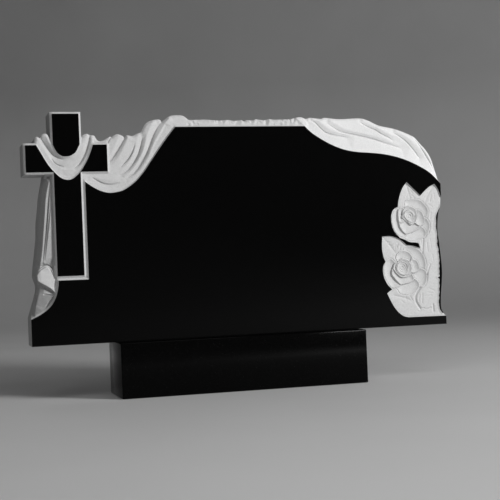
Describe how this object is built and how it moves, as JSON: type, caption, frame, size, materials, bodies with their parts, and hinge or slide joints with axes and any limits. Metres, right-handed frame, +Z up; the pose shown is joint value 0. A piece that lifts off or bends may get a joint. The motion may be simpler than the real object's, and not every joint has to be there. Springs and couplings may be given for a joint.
{
  "type": "carved cross grave tablet on a plinth",
  "caption": "Upright polished black granite grave tablet with a carved cross, shroud, drapery and roses, standing on a low block plinth.",
  "frame": {"origin": "middle of the whole part's box, on the plane that the plinth stands on", "axes": "+X along the tablet, from the cross's end to the roses' end; +Z up; the polished face looks along -Y"},
  "size_m": [1.205, 0.2, 0.7758],
  "materials": {
    "tablet_granite": "polished face, frosted pale carving, fine-sawn sides",
    "plinth_granite": "polished"
  },
  "bodies": {
    "root": {"tablet": "tablet_granite", "plinth": "plinth_granite"}
  },
  "joints": []
}
